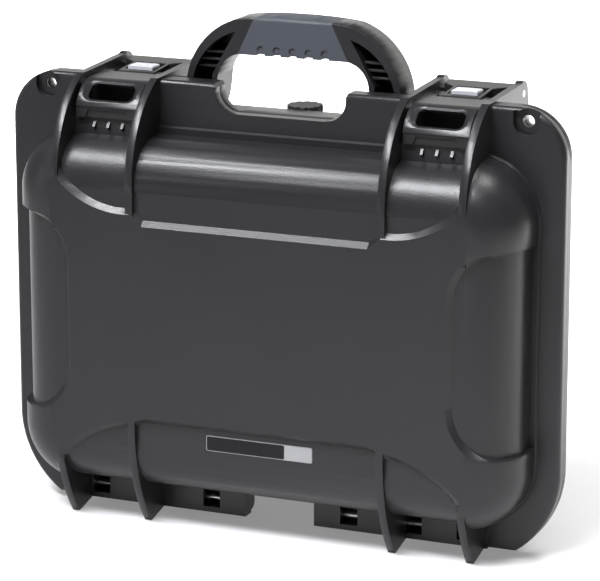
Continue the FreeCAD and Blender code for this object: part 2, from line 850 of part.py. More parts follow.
def hinge_lid(shell):
    """Give the lid its hinge barrels, windows and pin bores."""
    axis = (0, S.hinge_height)
    barrels = []
    removed = []
    for word, side in SIDES:
        whole = span(side, S.hinge_start, S.hinge_end)
        barrels.append(rod("lid_barrel_" + word, "X", axis, whole, S.hinge_barrel))
        inset = span(side, S.hinge_start + S.hinge_pin_inset, S.hinge_end - S.hinge_pin_inset)
        removed.append(rod("lid_bore_" + word, "X", axis, inset, S.hinge_pin_radius + S.pin_fit))
        for start in (S.window_first, S.window_second, S.window_third):
            across = span(side, start, start + S.hinge_window_width)
            up = (S.hinge_window_low, S.hinge_window_low + S.hinge_window_height)
            depth = (-S.hinge_front - PAST, S.hinge_pin_radius + S.knuckle_gap)
            removed.append(box("hinge_window_" + word, across, depth, up))
        for low, high in hinge_spans(side):
            room = (low - S.knuckle_gap, high + S.knuckle_gap)
            removed.append(rod("knuckle_room_" + word, "X", axis, room, S.hinge_barrel + S.knuckle_gap))
            below = (-S.hinge_barrel, S.hinge_barrel + PAST)
            removed.append(box("knuckle_way_" + word, room, below, (0, S.hinge_height)))
    lid = cut("lid_shell", fuse("lid_barrels", [shell] + barrels), removed)
    return [lid]


# Base
def base_fender_path():
    """Level fender that ends in a round boss for the lever pin."""
    boss_back = S.lever_pin_back + S.boss_radius
    boss_top = S.lever_pin_height + S.boss_radius
    return [
        (0, S.fender_low),
        (0, S.fender_top),
        (S.lever_pin_back - S.boss_radius / 2, boss_top - S.boss_ease,
         (S.lever_pin_back + S.boss_radius / 2, boss_top - S.boss_ease)),
        (boss_back, S.lever_pin_height),
        (boss_back + S.boss_radius, S.bulge_top - S.bulge_edge / 2),
        (boss_back, S.fender_low),
    ]


def base_foot_path():
    """Foot under the base, level with the lid's."""
    top = S.bulge_bottom + S.bulge_edge / 2
    return [
        (S.base_foot_near - S.base_foot_lean, top),
        (S.base_foot_near - S.base_foot_lean, S.bulge_bottom),
        (S.base_foot_near, 0),
        (S.base_foot_far, 0),
        (S.base_foot_far + S.base_foot_lean, S.bulge_bottom),
        (S.base_foot_far + S.base_foot_lean, top),
    ]


def base_panel():
    """The base's raised panel on the back, with the lid's recesses."""
    full = bulge("base_full", S.base_bulge_width, S.base_depth, S.base_draft, True, dim(0))
    return common("base_panel", [full, ledged("base_panel", 1, S.base_depth)])


def make_base():
    """Base shell with its flange, fenders, feet, handle lugs, valve boss and hinge knuckles."""
    edge = flange("base_flange", S.base_flange, True)
    core = bulge("base_core", S.base_bulge_width, S.base_depth, S.base_draft, True, S.recess_depth)
    hollow = bulge("base_cavity", S.base_bulge_width, S.base_depth, S.base_draft, True, cavity_inset)
    solids = [edge, core, base_panel(), skirt("base_skirt", S.base_bulge_width / 2, 1, S.base_flange)]
    solids += ribs("base_fender", base_fender_path)
    solids += ribs("base_foot", base_foot_path)
    inside_top = S.bulge_top - S.bulge_edge / 2
    deck = (-S.cutout_half, S.cutout_half)
    solids.append(box("deck", deck, (0, S.deck_depth), (inside_top, S.cutout_floor)))
    valve = (0, S.valve_back)
    solids.append(rod("valve_boss", "Z", valve, (inside_top, S.valve_boss_top), S.valve_boss_radius))
    pivot_back = S.handle_front + S.handle_depth / 2
    removed = [hollow, handle_cutout("base_cutout", -PAST, S.deck_depth + PAST)]
    spot_face = S.valve_nut_radius + S.slip_gap
    removed.append(rod("valve_spot_face", "Z", valve, (inside_top, valve_seat), spot_face))
    bore_up = (valve_seat - PAST, S.valve_boss_top + PAST)
    removed.append(rod("valve_bore", "Z", valve, bore_up, S.valve_stem_radius + S.pin_fit))
    for word, side in SIDES:
        lug = span(side, S.handle_foot_out + S.handle_lug_gap, S.inner_rib + S.rib_thickness / 2)
        pivot = (pivot_back, S.handle_pivot_height)
        solids.append(rod("handle_lug_" + word, "X", pivot, lug, S.handle_lug_radius))
        stand = (pivot_back - S.handle_lug_radius, pivot_back + S.handle_lug_radius)
        solids.append(box("handle_lug_stand_" + word, lug, stand, (inside_top, S.handle_pivot_height)))
        bore = span(side, S.handle_foot_in, S.inner_rib)
        removed.append(rod("handle_lug_bore_" + word, "X", pivot, bore, S.handle_pin_radius + S.pin_fit))
        pin = (S.lever_pin_back, S.lever_pin_height)
        through = span(side, S.inner_rib - PAST, S.outer_rib + S.rib_thickness + PAST)
        removed.append(rod("lever_bore_" + word, "X", pin, through, S.lever_pin_radius + S.pin_fit))
        notch_up = (S.base_notch, S.flange_top + OVERSIZE)
        removed.append(box("base_notch_" + word, latch_span(side), (-PAST, S.base_flange + PAST), notch_up))
        removed.append(eye_hole("base_eye_" + word, side, -PAST, S.base_flange + PAST))
    slab = half_width + OVERSIZE
    clear_under = S.hinge_height + S.hinge_barrel + 2 * S.knuckle_gap
    trim_along = (-OVERSIZE, S.base_flange + PAST)
    removed.append(box("base_trim", (-slab, slab), trim_along, (-OVERSIZE, clear_under)))
    shell = cut("base_hollowed", fuse("base_form", solids), removed)
    knuckles = []
    bores = []
    axis = (0, S.hinge_height)
    for word, side in SIDES:
        for room in hinge_spans(side):
            knuckles.append(rod("knuckle_" + word, "X", axis, room, S.hinge_barrel))
            arm_up = (S.hinge_height - S.hinge_barrel / 2, S.bulge_bottom + S.recess_depth + PAST)
            knuckles.append(box("knuckle_arm_" + word, room, (S.parting_gap, S.base_flange), arm_up))
        whole = span(side, S.hinge_start, S.hinge_end)
        bores.append(rod("knuckle_bore_" + word, "X", axis, whole, S.hinge_pin_radius + S.pin_fit))
    return [cut("base_shell", fuse("base_knuckled", [shell] + knuckles), bores)]


# Seal and pins
def make_gasket():
    """Soft ring in the lid's groove."""
    return [seal_ring("lid_gasket", S.gasket_out, S.gasket_width, S.gasket_height)]


def make_pins():
    """Hinge, handle and lever pins, one of each on either side."""
    made = []
    pivot_back = S.handle_front + S.handle_depth / 2
    for word, side in SIDES:
        hinge = span(side, S.hinge_start + S.hinge_pin_inset, S.hinge_end - S.hinge_pin_inset)
        made.append(rod("hinge_pin_" + word, "X", (0, S.hinge_height), hinge, S.hinge_pin_radius))
        handle = span(side, S.handle_pin_in, S.inner_rib)
        pivot = (pivot_back, S.handle_pivot_height)
        made.append(rod("handle_pin_" + word, "X", pivot, handle, S.handle_pin_radius))
        lever = span(side, S.inner_rib, S.outer_rib + S.rib_thickness)
        rear = (S.lever_pin_back, S.lever_pin_height)
        made.append(rod("lever_pin_" + word, "X", rear, lever, S.lever_pin_radius))
    return made


# Latches
claw_pin_height = S.lever_pin_height - S.claw_pin_drop


def claw_path():
    """Hooked plate from the lip over the top of the flange to the lever."""
    inner = S.claw_thickness
    rear = S.claw_pin_back - S.claw_barrel - S.slip_gap
    lip = S.latch_notch
    crease = lip + S.claw_lip
    crown = S.claw_top - S.claw_lip_gap
    return [
        (-S.claw_front + S.claw_lip_step, lip),
        (-S.claw_front + S.claw_lip_step, crease),
        (-S.claw_front, crease, (-S.claw_mid_front, S.claw_mid_height)),
        (-S.claw_crown, crown),
        (rear, S.claw_top),
        (rear, S.claw_top - inner),
        (-S.claw_crown, crown - inner,
         (-S.claw_mid_front + inner * SLANT, S.claw_mid_height - inner * SLANT)),
        (-S.claw_front + inner, crease),
        (-S.claw_front + inner, lip),
    ]


def claw_window(name, side, grow, off):
    """Leaning outline of the claw's window, grown sideways and endways, a little way off the plate."""
    half = S.claw_window_width / 2 + grow[0]
    high = S.claw_window_shift + S.claw_window_height / 2 + grow[1]
    low = S.claw_window_shift - S.claw_window_height / 2 - grow[1]
    radius = S.claw_window_corner + grow[0]
    inset = radius * DIAGONAL
    left = side * S.latch_middle - half
    right = side * S.latch_middle + half
    path = [
        (left + radius, low),
        (right - radius, low, (right - inset, low + inset)),
        (right, low + radius),
        (right, high - radius, (right - inset, high - inset)),
        (right - radius, high),
        (left + radius, high, (left + inset, high - inset)),
        (left, high - radius),
        (left, low + radius, (left + inset, low + inset)),
    ]
    return leaning(name, path, (-S.claw_mid_front, S.claw_mid_height), off)


def window_dish(word, side):
    """The claw's window, straight through the plate, and the dished surround that leads into it."""
    plain = (dim(0), dim(0))
    grown = (S.claw_dish_side, S.claw_dish_end)
    dish = doc.addObject("Part::Loft", "claw_dish_" + word)
    dish.Sections = [
        claw_window("claw_dish_foot_" + word, side, plain, -S.claw_dish_depth),
        claw_window("claw_dish_head_" + word, side, grown, S.claw_dish_over),
    ]
    dish.Solid = True
    dish.Ruled = True
    through = doc.addObject("Part::Extrusion", "claw_through_" + word)
    through.Base = claw_window("claw_through_outline_" + word, side, plain, -3 * S.claw_thickness)
    through.DirMode = "Normal"
    through.Solid = True
    bind(through, "LengthFwd", 3 * S.claw_thickness)
    return [dish, through]


def lip_scoop(word, side):
    """Shallow finger scoop in the middle of the claw's lip."""
    middle = side * S.latch_middle
    top = S.latch_notch + S.claw_scoop
    wide = S.claw_scoop_half + S.claw_scoop_flare
    path = [
        (middle - wide, S.latch_notch - PAST),
        (middle + wide, S.latch_notch - PAST),
        (middle + S.claw_scoop_half, top),
        (middle - S.claw_scoop_half, top),
    ]
    back = -S.claw_front + S.claw_lip_step + S.claw_scoop_depth
    return prism("claw_scoop_" + word, "XZ", path, -S.claw_front - PAST, back)


def lug_spans(side):
    """The two ends of a claw, beside the lever's neck."""
    low, high = latch_width(side)
    return [(low, low + S.claw_lug), (high - S.claw_lug, high)]


def make_claw(word, side):
    """Latch claw with a dished finger window and two hinge lugs."""
    plate = prism("claw_plate_" + word, "YZ", claw_path(), *latch_width(side))
    pin = (S.claw_pin_back, claw_pin_height)
    lugs = []
    for low, high in lug_spans(side):
        lugs.append(rod("claw_lug_" + word, "X", pin, (low, high), S.claw_barrel))
        along = (S.claw_pin_back - 2 * S.claw_barrel, S.claw_pin_back)
        up = (S.claw_top - S.claw_thickness, S.claw_top)
        lugs.append(box("claw_arm_" + word, (low, high), along, up))
    removed = window_dish(word, side) + [lip_scoop(word, side)]
    removed.append(rod("claw_bore_" + word, "X", pin, latch_width(side), S.claw_pin_radius + S.pin_fit))
    return [cut("latch_claw_" + word, fuse("claw_form_" + word, [plate] + lugs), removed)]


def lever_plan(side):
    """Lever seen from above: a narrow neck that flares to the full width at the rear."""
    middle = side * S.latch_middle
    neck = S.lever_neck / 2
    low, high = latch_width(side)
    front = S.claw_pin_back - S.claw_barrel
    rear = S.lever_pin_back + S.lever_barrel + PAST
    return [
        (middle - neck, front),
        (middle + neck, front),
        (middle + neck, S.lever_flare_start),
        (high, S.lever_flare_end),
        (high, rear),
        (low, rear),
        (low, S.lever_flare_end),
        (middle - neck, S.lever_flare_start),
    ]


def lever_profile():
    """Lever seen from the side: a blade that thickens to a round rear barrel."""
    top = S.lever_pin_height + S.lever_barrel
    front_top = claw_pin_height + S.claw_barrel
    under = front_top - S.lever_thickness
    return [
        (S.claw_pin_back, under),
        (S.claw_pin_back, front_top),
        (S.lever_pin_back, top, (S.lever_pin_back + S.lever_barrel, S.lever_pin_height)),
        (S.lever_pin_back, S.lever_pin_height - S.lever_barrel),
    ]


def make_slide(word, middle, low):
    """Slide lock: a block with rounded upper corners, seen from the front."""
    half = S.slide_width / 2
    high = low + S.slide_height
    edge = S.slide_edge
    inset = edge * DIAGONAL
    left = middle - half
    right = middle + half
    path = [
        (left, low),
        (right, low),
        (right, high - edge, (right - inset, high - inset)),
        (right - edge, high),
        (left + edge, high, (left + inset, high - inset)),
        (left, high - edge),
    ]
    along = (S.slide_front, S.slide_front + S.slide_length)
    return prism("latch_slide_" + word, "XZ", path, *along)


def make_lever(word, side):
    """Latch lever, its slide lock and the pin that carries the claw."""
    low, high = latch_width(side)
    middle = side * S.latch_middle
    plate = prism("lever_plate_" + word, "YZ", lever_profile(), low, high)
    plan_up = (S.lever_pin_height - 2 * S.lever_barrel, S.lever_pin_height + 2 * S.lever_barrel)
    plan = prism("lever_plan_" + word, "XY", lever_plan(side), *plan_up)
    blade = common("lever_blade_" + word, [plate, plan])
    front_pin = (S.claw_pin_back, claw_pin_height)
    neck = (middle - S.lever_neck / 2, middle + S.lever_neck / 2)
    nose = rod("lever_nose_" + word, "X", front_pin, neck, S.claw_barrel)
    form = fuse("lever_form_" + word, [blade, nose])
    groove_half = S.slide_width / 2 + S.slip_gap
    opening_half = S.lever_neck / 2 - S.lever_rail
    groove_end = S.slide_front + S.slide_length + S.slide_travel + S.slip_gap
    groove_floor = claw_pin_height + S.claw_barrel - S.slide_pocket
    groove_along = (S.slide_front - S.slip_gap, groove_end)
    opening_along = (S.claw_pin_back + S.claw_barrel, groove_end + S.slide_groove)
    rear_pin = (S.lever_pin_back, S.lever_pin_height)
    removed = [
        box("slide_groove_" + word, (middle - groove_half, middle + groove_half), groove_along,
            (groove_floor, plan_up[1])),
        box("slide_opening_" + word, (middle - opening_half, middle + opening_half), opening_along,
            (groove_floor + S.slide_groove, plan_up[1])),
        rod("lever_rear_bore_" + word, "X", rear_pin, (low, high), S.lever_pin_radius + S.pin_fit),
        rod("lever_front_bore_" + word, "X", front_pin, (low, high), S.claw_pin_radius + S.pin_fit),
    ]
    lever = cut("latch_lever_" + word, form, removed)
    slide = make_slide(word, middle, groove_floor + S.slide_float)
    pin = rod("claw_pin_" + word, "X", front_pin, (low, high), S.claw_pin_radius)
    return [lever, slide, pin]


# Handle
def handle_path():
    """Front view of the handle: splayed feet, round shoulders and a level grip bar."""
    foot = S.handle_pivot_height - S.handle_foot_radius
    shoulder = S.handle_top - S.handle_shoulder_drop
    inner_out = (S.handle_foot_in + S.handle_under_half) / 2 + S.handle_inner_bow
    inner_mid = (inner_out, S.handle_under - S.handle_inner_drop)
    return mirror_path([
        (S.handle_under_half, S.handle_under, inner_mid),
        (S.handle_foot_in, S.handle_pivot_height + S.handle_foot_rise),
        (S.handle_foot_in + S.handle_foot_taper, foot),
        (S.handle_foot_out, foot),
        (S.handle_foot_out, S.handle_pivot_height, (S.handle_round_out, S.handle_round_height)),
        (S.handle_shoulder, shoulder),
    ], crown=(0, S.handle_top))


def handle_section():
    """Side view of the handle, with a round foot and rounded top edges."""
    front = S.handle_front
    back = S.handle_front + S.handle_depth
    top = S.handle_top
    edge = S.handle_edge
    pivot = S.handle_pivot_height
    middle = S.handle_front + S.handle_depth / 2
    return [
        (front, pivot),
        (front, top - edge, (front + edge * DIAGONAL, top - edge * DIAGONAL)),
        (front + edge, top),
        (back - edge, top, (back - edge * DIAGONAL, top - edge * DIAGONAL)),
        (back, top - edge),
        (back, pivot, (middle, pivot - S.handle_foot_radius)),
    ]


def grip_path():
    """Front view of the soft grip: wider below than above."""
    slope = (S.grip_bottom_half - S.grip_top_half) / (S.handle_top - S.handle_under)
    over = S.handle_top + OVERSIZE
    under = S.handle_under - OVERSIZE / 8
    wide = S.grip_bottom_half + slope * (OVERSIZE / 8)
    narrow = S.grip_top_half - slope * OVERSIZE
    return mirror_path([(wide, under), (narrow, over)])


def arm_pocket(word, side):
    """Recess in the front of a handle arm, with cross ribs left standing in it."""
    rim = S.handle_rim
    foot = S.handle_pivot_height + rim
    path = [
        (S.handle_foot_in + rim, foot),
        (S.handle_foot_out - rim, foot, (S.handle_round_out - rim, S.handle_round_height - rim)),
        (S.handle_under_half + rim / 2, S.handle_top - S.handle_shoulder_drop - 2 * rim),
        (S.handle_under_half + 2 * rim, S.handle_under + rim),
        (S.handle_foot_in + rim, S.handle_pivot_height + S.handle_foot_rise),
    ]
    path = [mirrored(corner, side) for corner in path]
    back = S.handle_front + S.handle_depth - S.handle_web
    pocket = prism("arm_pocket_" + word, "XZ", path, S.handle_front - PAST, back)
    across = span(side, S.handle_foot_in - rim, S.handle_foot_out)
    along = (S.handle_front + rim, back)
    bars = []
    for step in range(3):
        level = S.handle_pivot_height + S.handle_foot_rise + S.handle_rib_first + step * S.handle_rib_pitch
        bars.append(box("arm_rib_" + word, across, along, (level, level + S.handle_rib)))
    return cut("arm_recess_" + word, pocket, bars)


def make_handle():
    """Handle frame with recessed arms, and the soft grip round its bar."""
    outer = common("handle_outer", [
        prism("handle_front_view", "XZ", handle_path(), S.handle_front, S.handle_front + S.handle_depth),
        prism("handle_side_view", "YZ", handle_section(), -S.handle_foot_out, S.handle_foot_out),
    ])
    middle = S.handle_front + S.handle_depth / 2
    core_half = S.handle_depth / 2 - S.grip_thickness
    core_reach = S.grip_bottom_half + S.grip_thickness
    core_up = (S.handle_under + S.grip_thickness, S.handle_top - S.grip_thickness - S.handle_shoulder_drop)
    core = box("handle_core", (-core_reach, core_reach), (middle - core_half, middle + core_half), core_up)
    behind = S.handle_front + S.handle_depth + PAST
    grip_room = prism("grip_room", "XZ", grip_path(), 0, behind)
    removed = [grip_room]
    for word, side in SIDES:
        removed.append(arm_pocket(word, side))
    bare = cut("handle_bare", outer, removed)
    bores = []
    for word, side in SIDES:
        bore = span(side, S.handle_pin_in, S.handle_foot_out + PAST)
        pivot = (middle, S.handle_pivot_height)
        bores.append(rod("handle_bore_" + word, "X", pivot, bore, S.handle_pin_radius + S.pin_fit))
    frame = cut("handle_frame", fuse("handle_cored", [bare, core]), bores)
    grip_form = common("grip_form", [outer, grip_room])
    marks = [core]
    level = S.handle_under + S.grip_dimple_rise
    dimple = (S.handle_front - PAST, S.handle_front + S.grip_dimple_depth)
    half = S.grip_dimple_pitch / 4
    scallop = (S.handle_under - PAST, S.handle_under + S.grip_scallop)
    for step in (-2, -1, 0, 1, 2):
        across = step * S.grip_dimple_pitch
        marks.append(rod("grip_dimple", "Y", (across, level), dimple, S.grip_dimple_radius))
        marks.append(box("grip_scallop", (across - half, across + half), (0, behind), scallop))
    return [frame, cut("handle_grip", grip_form, marks)]


# Pressure valve
def make_valve():
    """Valve stem through the base's top wall, its knob outside and its nut and washer inside."""
    centre = (0, S.valve_back)
    nut_top = valve_seat - S.valve_seal_height
    nut_low = nut_top - S.valve_nut_height
    knob_low = S.valve_boss_top + S.valve_knob_gap
    knob_top = knob_low + S.valve_knob_height
    stem = rod("valve_body", "Z", centre, (nut_low, S.valve_boss_top), S.valve_stem_radius)
    hole = S.valve_stem_radius + S.pin_fit
    seal = cut("valve_seal", rod("seal_disc", "Z", centre, (nut_top, valve_seat), S.valve_nut_radius),
               [rod("seal_hole", "Z", centre, (nut_top - PAST, valve_seat + PAST), hole)])
    nut = cut("valve_nut", rod("nut_disc", "Z", centre, (nut_low, nut_top), S.valve_nut_radius),
              [rod("nut_hole", "Z", centre, (nut_low - PAST, nut_top + PAST), hole)])
    disc = rod("knob_disc", "Z", centre, (knob_low, knob_top), S.valve_knob_radius)
    count = int(S.valve_flutes.value)
    flutes = []
    for number in range(count):
        turn = FreeCAD.Rotation(FreeCAD.Vector(0, 0, 1), 360.0 * number / count)
        reach = turn.multVec(FreeCAD.Vector(1, 0, 0))
        spot = (reach.x * S.valve_knob_radius, S.valve_back + reach.y * S.valve_knob_radius)
        up = (knob_low - PAST, knob_top + PAST)
        flutes.append(rod("knob_flute", "Z", spot, up, S.valve_flute_radius))
    return [stem, seal, nut, cut("valve_knob", disc, flutes)]


def set_down(part):
    """Move a finished sub-part so that the origin is at the middle of the case's footprint."""
    to_middle = (S.lid_depth - S.base_depth) / 2
    bind(part, "Placement.Base.y", laid_back.get(part.Name, dim(0)) + to_middle)


sub_parts = make_lid() + make_base() + make_gasket() + make_pins()
for word, side in SIDES:
    sub_parts += make_claw(word, side) + make_lever(word, side)
sub_parts += make_handle() + make_valve()
for part in sub_parts:
    part.Label = part.Name
    set_down(part)
doc.recompute()

failed = [item.Name for item in doc.Objects if "Invalid" in item.State or "Error" in item.State]
if failed:
    raise RuntimeError("failed: " + ", ".join(failed))

os.makedirs("parts", exist_ok=True)
for part in sub_parts:
    if part.Shape.isNull() or not part.Shape.isValid():
        raise RuntimeError("bad shape: " + part.Label)
for part in sub_parts:
    part.Shape.exportStep(os.path.join("parts", part.Label + ".step"))
    print(part.Label, len(part.Shape.Solids), round(part.Shape.Volume))
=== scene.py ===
import math

import bmesh
import bpy
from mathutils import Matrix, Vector


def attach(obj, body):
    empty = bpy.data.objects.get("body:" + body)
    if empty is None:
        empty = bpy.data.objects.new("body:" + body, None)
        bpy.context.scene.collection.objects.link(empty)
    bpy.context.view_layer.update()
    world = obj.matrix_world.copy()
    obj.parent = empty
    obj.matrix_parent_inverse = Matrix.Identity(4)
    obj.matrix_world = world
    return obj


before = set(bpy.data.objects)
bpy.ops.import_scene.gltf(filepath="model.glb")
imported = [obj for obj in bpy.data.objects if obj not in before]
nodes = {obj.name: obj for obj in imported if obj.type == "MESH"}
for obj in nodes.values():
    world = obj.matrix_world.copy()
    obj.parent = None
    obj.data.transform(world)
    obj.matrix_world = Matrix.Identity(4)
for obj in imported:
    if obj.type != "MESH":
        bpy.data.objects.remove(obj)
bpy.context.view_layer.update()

MM = 0.001
SIDES = ("left", "right")
PARTING = -26.5 * MM
WHITE = (1.0, 1.0, 1.0)


# Shader node groups
def new_group(name, inputs, outputs):
    """A shader node group with named value sockets, and its two end nodes."""
    group = bpy.data.node_groups.new(name, "ShaderNodeTree")
    for label, value in inputs:
        socket = group.interface.new_socket(label, in_out="INPUT", socket_type="NodeSocketFloat")
        socket.default_value = value
    for label in outputs:
        group.interface.new_socket(label, in_out="OUTPUT", socket_type="NodeSocketFloat")
    return group, group.nodes.new("NodeGroupInput"), group.nodes.new("NodeGroupOutput")


def add(tree, kind, **values):
    """A node with its properties set, and its sockets by name."""
    node = tree.nodes.new("ShaderNode" + kind)
    for key, value in values.items():
        if hasattr(node, key):
            setattr(node, key, value)
        else:
            node.inputs[key.replace("_", " ")].default_value = value
    return node


def join(tree, *pairs):
    """Links between sockets, given as (from, to)."""
    for start, end in pairs:
        tree.links.new(start, end)


def make_moulded_grain():
    """Fine pebble of a moulded surface, with broad patches of handling."""
    group, given, put = new_group(
        "moulded_grain",
        [("Pebble Size", 900.0), ("Patch Size", 14.0)],
        ["Height", "Patches"],
    )
    grit_share = 0.6
    place = add(group, "TexCoord")
    pebble = add(group, "TexVoronoi", feature="SMOOTH_F1")
    grit = add(group, "TexNoise", Detail=2.0, Roughness=0.6)
    patches = add(group, "TexNoise", Detail=4.0, Roughness=0.55)
    mix = add(group, "Math", operation="MULTIPLY_ADD")
    mix.inputs[1].default_value = grit_share
    join(
        group,
        (place.outputs["Object"], pebble.inputs["Vector"]),
        (place.outputs["Object"], grit.inputs["Vector"]),
        (place.outputs["Object"], patches.inputs["Vector"]),
        (given.outputs["Pebble Size"], pebble.inputs["Scale"]),
        (given.outputs["Pebble Size"], grit.inputs["Scale"]),
        (given.outputs["Patch Size"], patches.inputs["Scale"]),
        (grit.outputs["Fac"], mix.inputs[0]),
        (pebble.outputs["Distance"], mix.inputs[2]),
        (mix.outputs["Value"], put.inputs["Height"]),
        (patches.outputs["Fac"], put.inputs["Patches"]),
    )
    return group


def make_scuffs():
    """Short fine scratches that run one way, with bare ground between them."""
    group, given, put = new_group("scuffs", [("Scale", 60.0), ("Amount", 0.5)], ["Mask"])
    place = add(group, "TexCoord")
    stretch = add(group, "Mapping", Scale=(1.0, 1.0, 9.0), Rotation=(0.3, 0.7, 0.4))
    lines = add(group, "TexNoise", Detail=3.0, Roughness=0.7)
    narrow = add(group, "MapRange", From_Min=0.62, From_Max=0.74)
    amount = add(group, "Math", operation="MULTIPLY")
    join(
        group,
        (place.outputs["Object"], stretch.inputs["Vector"]),
        (stretch.outputs["Vector"], lines.inputs["Vector"]),
        (given.outputs["Scale"], lines.inputs["Scale"]),
        (lines.outputs["Fac"], narrow.inputs["Value"]),
        (narrow.outputs["Result"], amount.inputs[0]),
        (given.outputs["Amount"], amount.inputs[1]),
        (amount.outputs["Value"], put.inputs["Mask"]),
    )
    return group


moulded_grain = make_moulded_grain()
scuffs = make_scuffs()

# Materials
PLASTIC_IOR = 1.42
PATCH_SIZE = 14.0
SCUFF_AMOUNT = 0.25
SCUFF_ROUGHNESS = 0.08
GRAIN_DEPTH = 0.4 * MM


def surface(name, dark, light, gloss, pebble=900.0, bump=0.15, metal=0.0, specular=0.5):
    """A moulded or drawn surface whose colour and roughness wander between two ends."""
    material = bpy.data.materials.new(name)
    material.use_nodes = True
    tree = material.node_tree
    shader = tree.nodes["Principled BSDF"]
    shader.inputs["Metallic"].default_value = metal
    shader.inputs["IOR"].default_value = PLASTIC_IOR
    shader.inputs["Specular IOR Level"].default_value = specular
    smooth, rough = gloss
    grain = add(tree, "Group", node_tree=moulded_grain)
    grain.inputs["Pebble Size"].default_value = pebble
    grain.inputs["Patch Size"].default_value = PATCH_SIZE
    scratch = add(tree, "Group", node_tree=scuffs)
    scratch.inputs["Amount"].default_value = SCUFF_AMOUNT
    tone = add(tree, "Mix", data_type="RGBA")
    tone.inputs["A"].default_value = dark + (1.0,)
    tone.inputs["B"].default_value = light + (1.0,)
    sheen = add(tree, "MapRange", To_Min=smooth, To_Max=rough)
    worn = add(tree, "Math", operation="MULTIPLY_ADD")
    worn.inputs[1].default_value = SCUFF_ROUGHNESS
    relief = add(tree, "Bump", Strength=bump, Distance=GRAIN_DEPTH)
    join(
        tree,
        (grain.outputs["Patches"], tone.inputs["Factor"]),
        (tone.outputs["Result"], shader.inputs["Base Color"]),
        (grain.outputs["Patches"], sheen.inputs["Value"]),
        (scratch.outputs["Mask"], worn.inputs[0]),
        (sheen.outputs["Result"], worn.inputs[2]),
        (worn.outputs["Value"], shader.inputs["Roughness"]),
        (grain.outputs["Height"], relief.inputs["Height"]),
        (relief.outputs["Normal"], shader.inputs["Normal"]),
    )
    return material


shell_plastic = surface(
    "shell_plastic", (0.011, 0.011, 0.012), (0.015, 0.015, 0.016), (0.30, 0.36), pebble=1200.0, bump=0.22
)
latch_plastic = surface(
    "latch_plastic", (0.012, 0.012, 0.013), (0.017, 0.017, 0.018), (0.29, 0.36), bump=0.08
)
slide_plastic = surface("slide_plastic", (0.36, 0.37, 0.39), (0.44, 0.45, 0.47), (0.22, 0.32), bump=0.05)
grip_rubber = surface(
    "grip_rubber", (0.040, 0.044, 0.054), (0.050, 0.055, 0.066), (0.50, 0.62), pebble=700.0
)
seal_rubber = surface("seal_rubber", (0.012, 0.012, 0.012), (0.020, 0.020, 0.020), (0.55, 0.70))
pin_steel = surface(
    "pin_steel", (0.55, 0.54, 0.52), (0.66, 0.65, 0.63), (0.22, 0.36), bump=0.03, metal=1.0
)
valve_plastic = surface("valve_plastic", (0.012, 0.012, 0.013), (0.018, 0.018, 0.019), (0.40, 0.52))
badge_black = surface(
    "badge_black", (0.010, 0.010, 0.011), (0.014, 0.014, 0.015), (0.20, 0.28), bump=0.02, specular=0.15
)
badge_silver = surface(
    "badge_silver", (0.28, 0.28, 0.29), (0.36, 0.36, 0.37), (0.26, 0.36), bump=0.02, metal=0.6
)

DRESS = {
    "lid_shell": shell_plastic,
    "base_shell": shell_plastic,
    "handle_frame": latch_plastic,
    "handle_grip": grip_rubber,
    "lid_gasket": seal_rubber,
    "valve_seal": seal_rubber,
    "valve_body": valve_plastic,
    "valve_nut": valve_plastic,
    "valve_knob": valve_plastic,
}
for side in SIDES:
    DRESS["latch_claw_" + side] = latch_plastic
    DRESS["latch_lever_" + side] = latch_plastic
    DRESS["latch_slide_" + side] = slide_plastic
    for pin in ("hinge_pin_", "handle_pin_", "lever_pin_", "claw_pin_"):
        DRESS[pin + side] = pin_steel

for name, material in DRESS.items():
    mesh = nodes[name].data
    mesh.materials.clear()
    mesh.materials.append(material)

# Moulded edges, with the width of each moulding's rounding in millimetres
EDGE = {
    "lid_shell": 0.9,
    "base_shell": 0.9,
    "handle_frame": 1.4,
    "handle_grip": 1.0,
    "valve_knob": 0.6,
}
for side in SIDES:
    EDGE["latch_claw_" + side] = 0.7
    EDGE["latch_lever_" + side] = 0.7
    EDGE["latch_slide_" + side] = 0.6

SAME_CORNER = 0.01 * MM
SAME_FACE = math.radians(0.3)
SHARP = math.radians(35.0)
EDGE_STEPS = 2


def soften(name, width):
    """Round a moulding's edges a little, as a mould leaves them."""
    node = nodes[name]
    joined = node.modifiers.new("joined_corners", "WELD")
    joined.merge_threshold = SAME_CORNER
    faces = node.modifiers.new("whole_faces", "DECIMATE")
    faces.decimate_type = "DISSOLVE"
    faces.angle_limit = SAME_FACE
    edges = node.modifiers.new("rounded_edges", "BEVEL")
    edges.width = width * MM
    edges.segments = EDGE_STEPS
    edges.limit_method = "ANGLE"
    edges.angle_limit = SHARP
    edges.harden_normals = True


for name, width in EDGE.items():
    soften(name, width)


